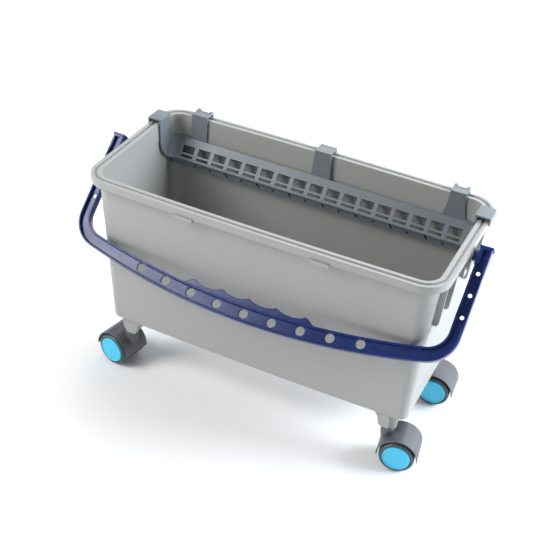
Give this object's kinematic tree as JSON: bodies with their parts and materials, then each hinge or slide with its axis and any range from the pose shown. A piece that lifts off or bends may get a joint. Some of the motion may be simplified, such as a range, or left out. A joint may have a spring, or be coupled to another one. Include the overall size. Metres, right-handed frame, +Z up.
{
  "type": "wheeled mop bucket",
  "caption": "Rectangular wheeled bucket with a rolled rim, swinging bail handle, perforated strainer hooked over the back rim and swivelling twin-wheel castors.",
  "frame": {"origin": "middle of the footprint of the whole part, on the floor", "axes": "+X to the right along the long side, +Y to the back (strainer side), +Z up; the bail handle hangs in front at -Y"},
  "size_m": [0.562, 0.267, 0.338],
  "materials": {
    "tub_grey": "smooth moulded polypropylene, light grey",
    "strainer_grey": "satin moulded plastic, blue grey",
    "handle_blue": "semi-gloss moulded plastic, royal blue",
    "castor_black": "satin moulded plastic, charcoal",
    "tyre": "soft grey-black tread",
    "wheel_core": "moulded plastic, dark grey",
    "cap_cyan": "gloss moulded plastic, cyan blue",
    "steel": "zinc-plated steel"
  },
  "bodies": {
    "tub": {"tub": "tub_grey"},
    "bail": {"bail_handle": "handle_blue"},
    "strainer": {"strainer": "strainer_grey"},
    "castor_fr": {"castor_fr_body": "castor_black", "castor_fr_stem": "steel", "castor_fr_axle": "steel"},
    "wheel_fr_a": {"wheel_fr_a": "wheel_core", "tyre_fr_a": "tyre", "cap_fr_a": "cap_cyan"},
    "wheel_fr_b": {"wheel_fr_b": "wheel_core", "tyre_fr_b": "tyre", "cap_fr_b": "cap_cyan"},
    "castor_fl": {"castor_fl_body": "castor_black", "castor_fl_stem": "steel", "castor_fl_axle": "steel"},
    "wheel_fl_a": {"wheel_fl_a": "wheel_core", "tyre_fl_a": "tyre", "cap_fl_a": "cap_cyan"},
    "wheel_fl_b": {"wheel_fl_b": "wheel_core", "tyre_fl_b": "tyre", "cap_fl_b": "cap_cyan"},
    "castor_rr": {"castor_rr_body": "castor_black", "castor_rr_stem": "steel", "castor_rr_axle": "steel"},
    "wheel_rr_a": {"wheel_rr_a": "wheel_core", "tyre_rr_a": "tyre", "cap_rr_a": "cap_cyan"},
    "wheel_rr_b": {"wheel_rr_b": "wheel_core", "tyre_rr_b": "tyre", "cap_rr_b": "cap_cyan"},
    "castor_rl": {"castor_rl_body": "castor_black", "castor_rl_stem": "steel", "castor_rl_axle": "steel"},
    "wheel_rl_a": {"wheel_rl_a": "wheel_core", "tyre_rl_a": "tyre", "cap_rl_a": "cap_cyan"},
    "wheel_rl_b": {"wheel_rl_b": "wheel_core", "tyre_rl_b": "tyre", "cap_rl_b": "cap_cyan"}
  },
  "joints": [
    {"name": "bail_swing", "type": "hinge", "parent": "tub", "child": "bail", "pos_m": [0, 0.00815, 0.317], "axis": [-1, 0, 0], "range_deg": [0, 260]},
    {"name": "strainer_lift", "type": "slide", "parent": "tub", "child": "strainer", "axis": [0, 0, 1], "range_m": [0, 0.12]},
    {"name": "swivel_fr", "type": "hinge", "parent": "tub", "child": "castor_fr", "pos_m": [0.2048, -0.07015, 0.06], "axis": [0, 0, 1], "continuous": true},
    {"name": "roll_fr_a", "type": "hinge", "parent": "castor_fr", "child": "wheel_fr_a", "pos_m": [0.2241, -0.06674, 0.025], "axis": [-0.1736, 0.9848, 0], "continuous": true},
    {"name": "roll_fr_b", "type": "hinge", "parent": "castor_fr", "child": "wheel_fr_b", "pos_m": [0.2241, -0.06674, 0.025], "axis": [-0.1736, 0.9848, 0], "continuous": true},
    {"name": "swivel_fl", "type": "hinge", "parent": "tub", "child": "castor_fl", "pos_m": [-0.2048, -0.07015, 0.06], "axis": [0, 0, 1], "continuous": true},
    {"name": "roll_fl_a", "type": "hinge", "parent": "castor_fl", "child": "wheel_fl_a", "pos_m": [-0.22404, -0.06641, 0.025], "axis": [-0.1908, -0.9816, 0], "continuous": true},
    {"name": "roll_fl_b", "type": "hinge", "parent": "castor_fl", "child": "wheel_fl_b", "pos_m": [-0.22404, -0.06641, 0.025], "axis": [-0.1908, -0.9816, 0], "continuous": true},
    {"name": "swivel_rr", "type": "hinge", "parent": "tub", "child": "castor_rr", "pos_m": [0.2048, 0.08645, 0.06], "axis": [0, 0, 1], "continuous": true},
    {"name": "roll_rr_a", "type": "hinge", "parent": "castor_rr", "child": "wheel_rr_a", "pos_m": [0.22434, 0.08799, 0.025], "axis": [-0.0785, 0.9969, 0], "continuous": true},
    {"name": "roll_rr_b", "type": "hinge", "parent": "castor_rr", "child": "wheel_rr_b", "pos_m": [0.22434, 0.08799, 0.025], "axis": [-0.0785, 0.9969, 0], "continuous": true},
    {"name": "swivel_rl", "type": "hinge", "parent": "tub", "child": "castor_rl", "pos_m": [-0.2048, 0.08645, 0.06], "axis": [0, 0, 1], "continuous": true},
    {"name": "roll_rl_a", "type": "hinge", "parent": "castor_rl", "child": "wheel_rl_a", "pos_m": [-0.22435, 0.08782, 0.025], "axis": [-0.0698, -0.9976, 0], "continuous": true},
    {"name": "roll_rl_b", "type": "hinge", "parent": "castor_rl", "child": "wheel_rl_b", "pos_m": [-0.22435, 0.08782, 0.025], "axis": [-0.0698, -0.9976, 0], "continuous": true}
  ]
}
